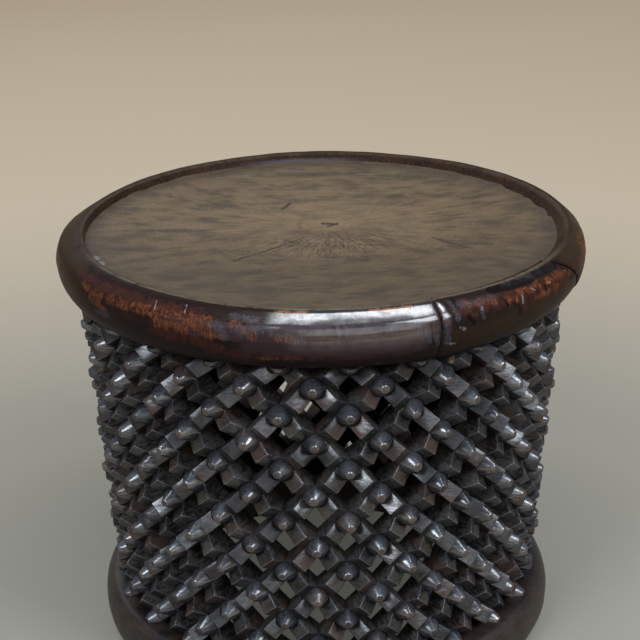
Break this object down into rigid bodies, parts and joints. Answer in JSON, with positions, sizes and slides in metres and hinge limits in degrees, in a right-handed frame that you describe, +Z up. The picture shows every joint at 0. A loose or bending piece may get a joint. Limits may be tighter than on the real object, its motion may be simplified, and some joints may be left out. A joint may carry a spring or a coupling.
{
  "type": "carved lattice stool",
  "caption": "Round carved wooden stool with a dished seat, a thick rolled rim repaired with a let-in block, a hollow drum pierced into a studded diamond lattice, and a base ring.",
  "frame": {"origin": "centre of the stool's footprint, on the floor", "axes": "+Z up along the drum's axis; the front seen in the picture faces -Y, with +X to the right of it"},
  "size_m": [0.5, 0.5, 0.4093],
  "materials": {
    "dish_wood": "matt grey-brown end grain, worn by sitting",
    "rim_wood": "dark red-brown, polished by handling, worn orange in patches",
    "repair_wood": "dark red-brown, semi-gloss, dented",
    "lattice_wood": "near-black patina with a soft sheen, worn brown on the studs",
    "base_wood": "near-black patina, scuffed"
  },
  "bodies": {
    "root": {"seat_dish": "dish_wood", "seat_rim": "rim_wood", "rim_repair_segment": "repair_wood", "lattice_panel_01": "lattice_wood", "lattice_panel_02": "lattice_wood", "lattice_panel_03": "lattice_wood", "lattice_panel_04": "lattice_wood", "lattice_panel_05": "lattice_wood", "lattice_panel_06": "lattice_wood", "lattice_panel_07": "lattice_wood", "lattice_panel_08": "lattice_wood", "lattice_panel_09": "lattice_wood", "lattice_panel_10": "lattice_wood", "lattice_panel_11": "lattice_wood", "lattice_panel_12": "lattice_wood", "base_ring": "base_wood"}
  },
  "joints": []
}
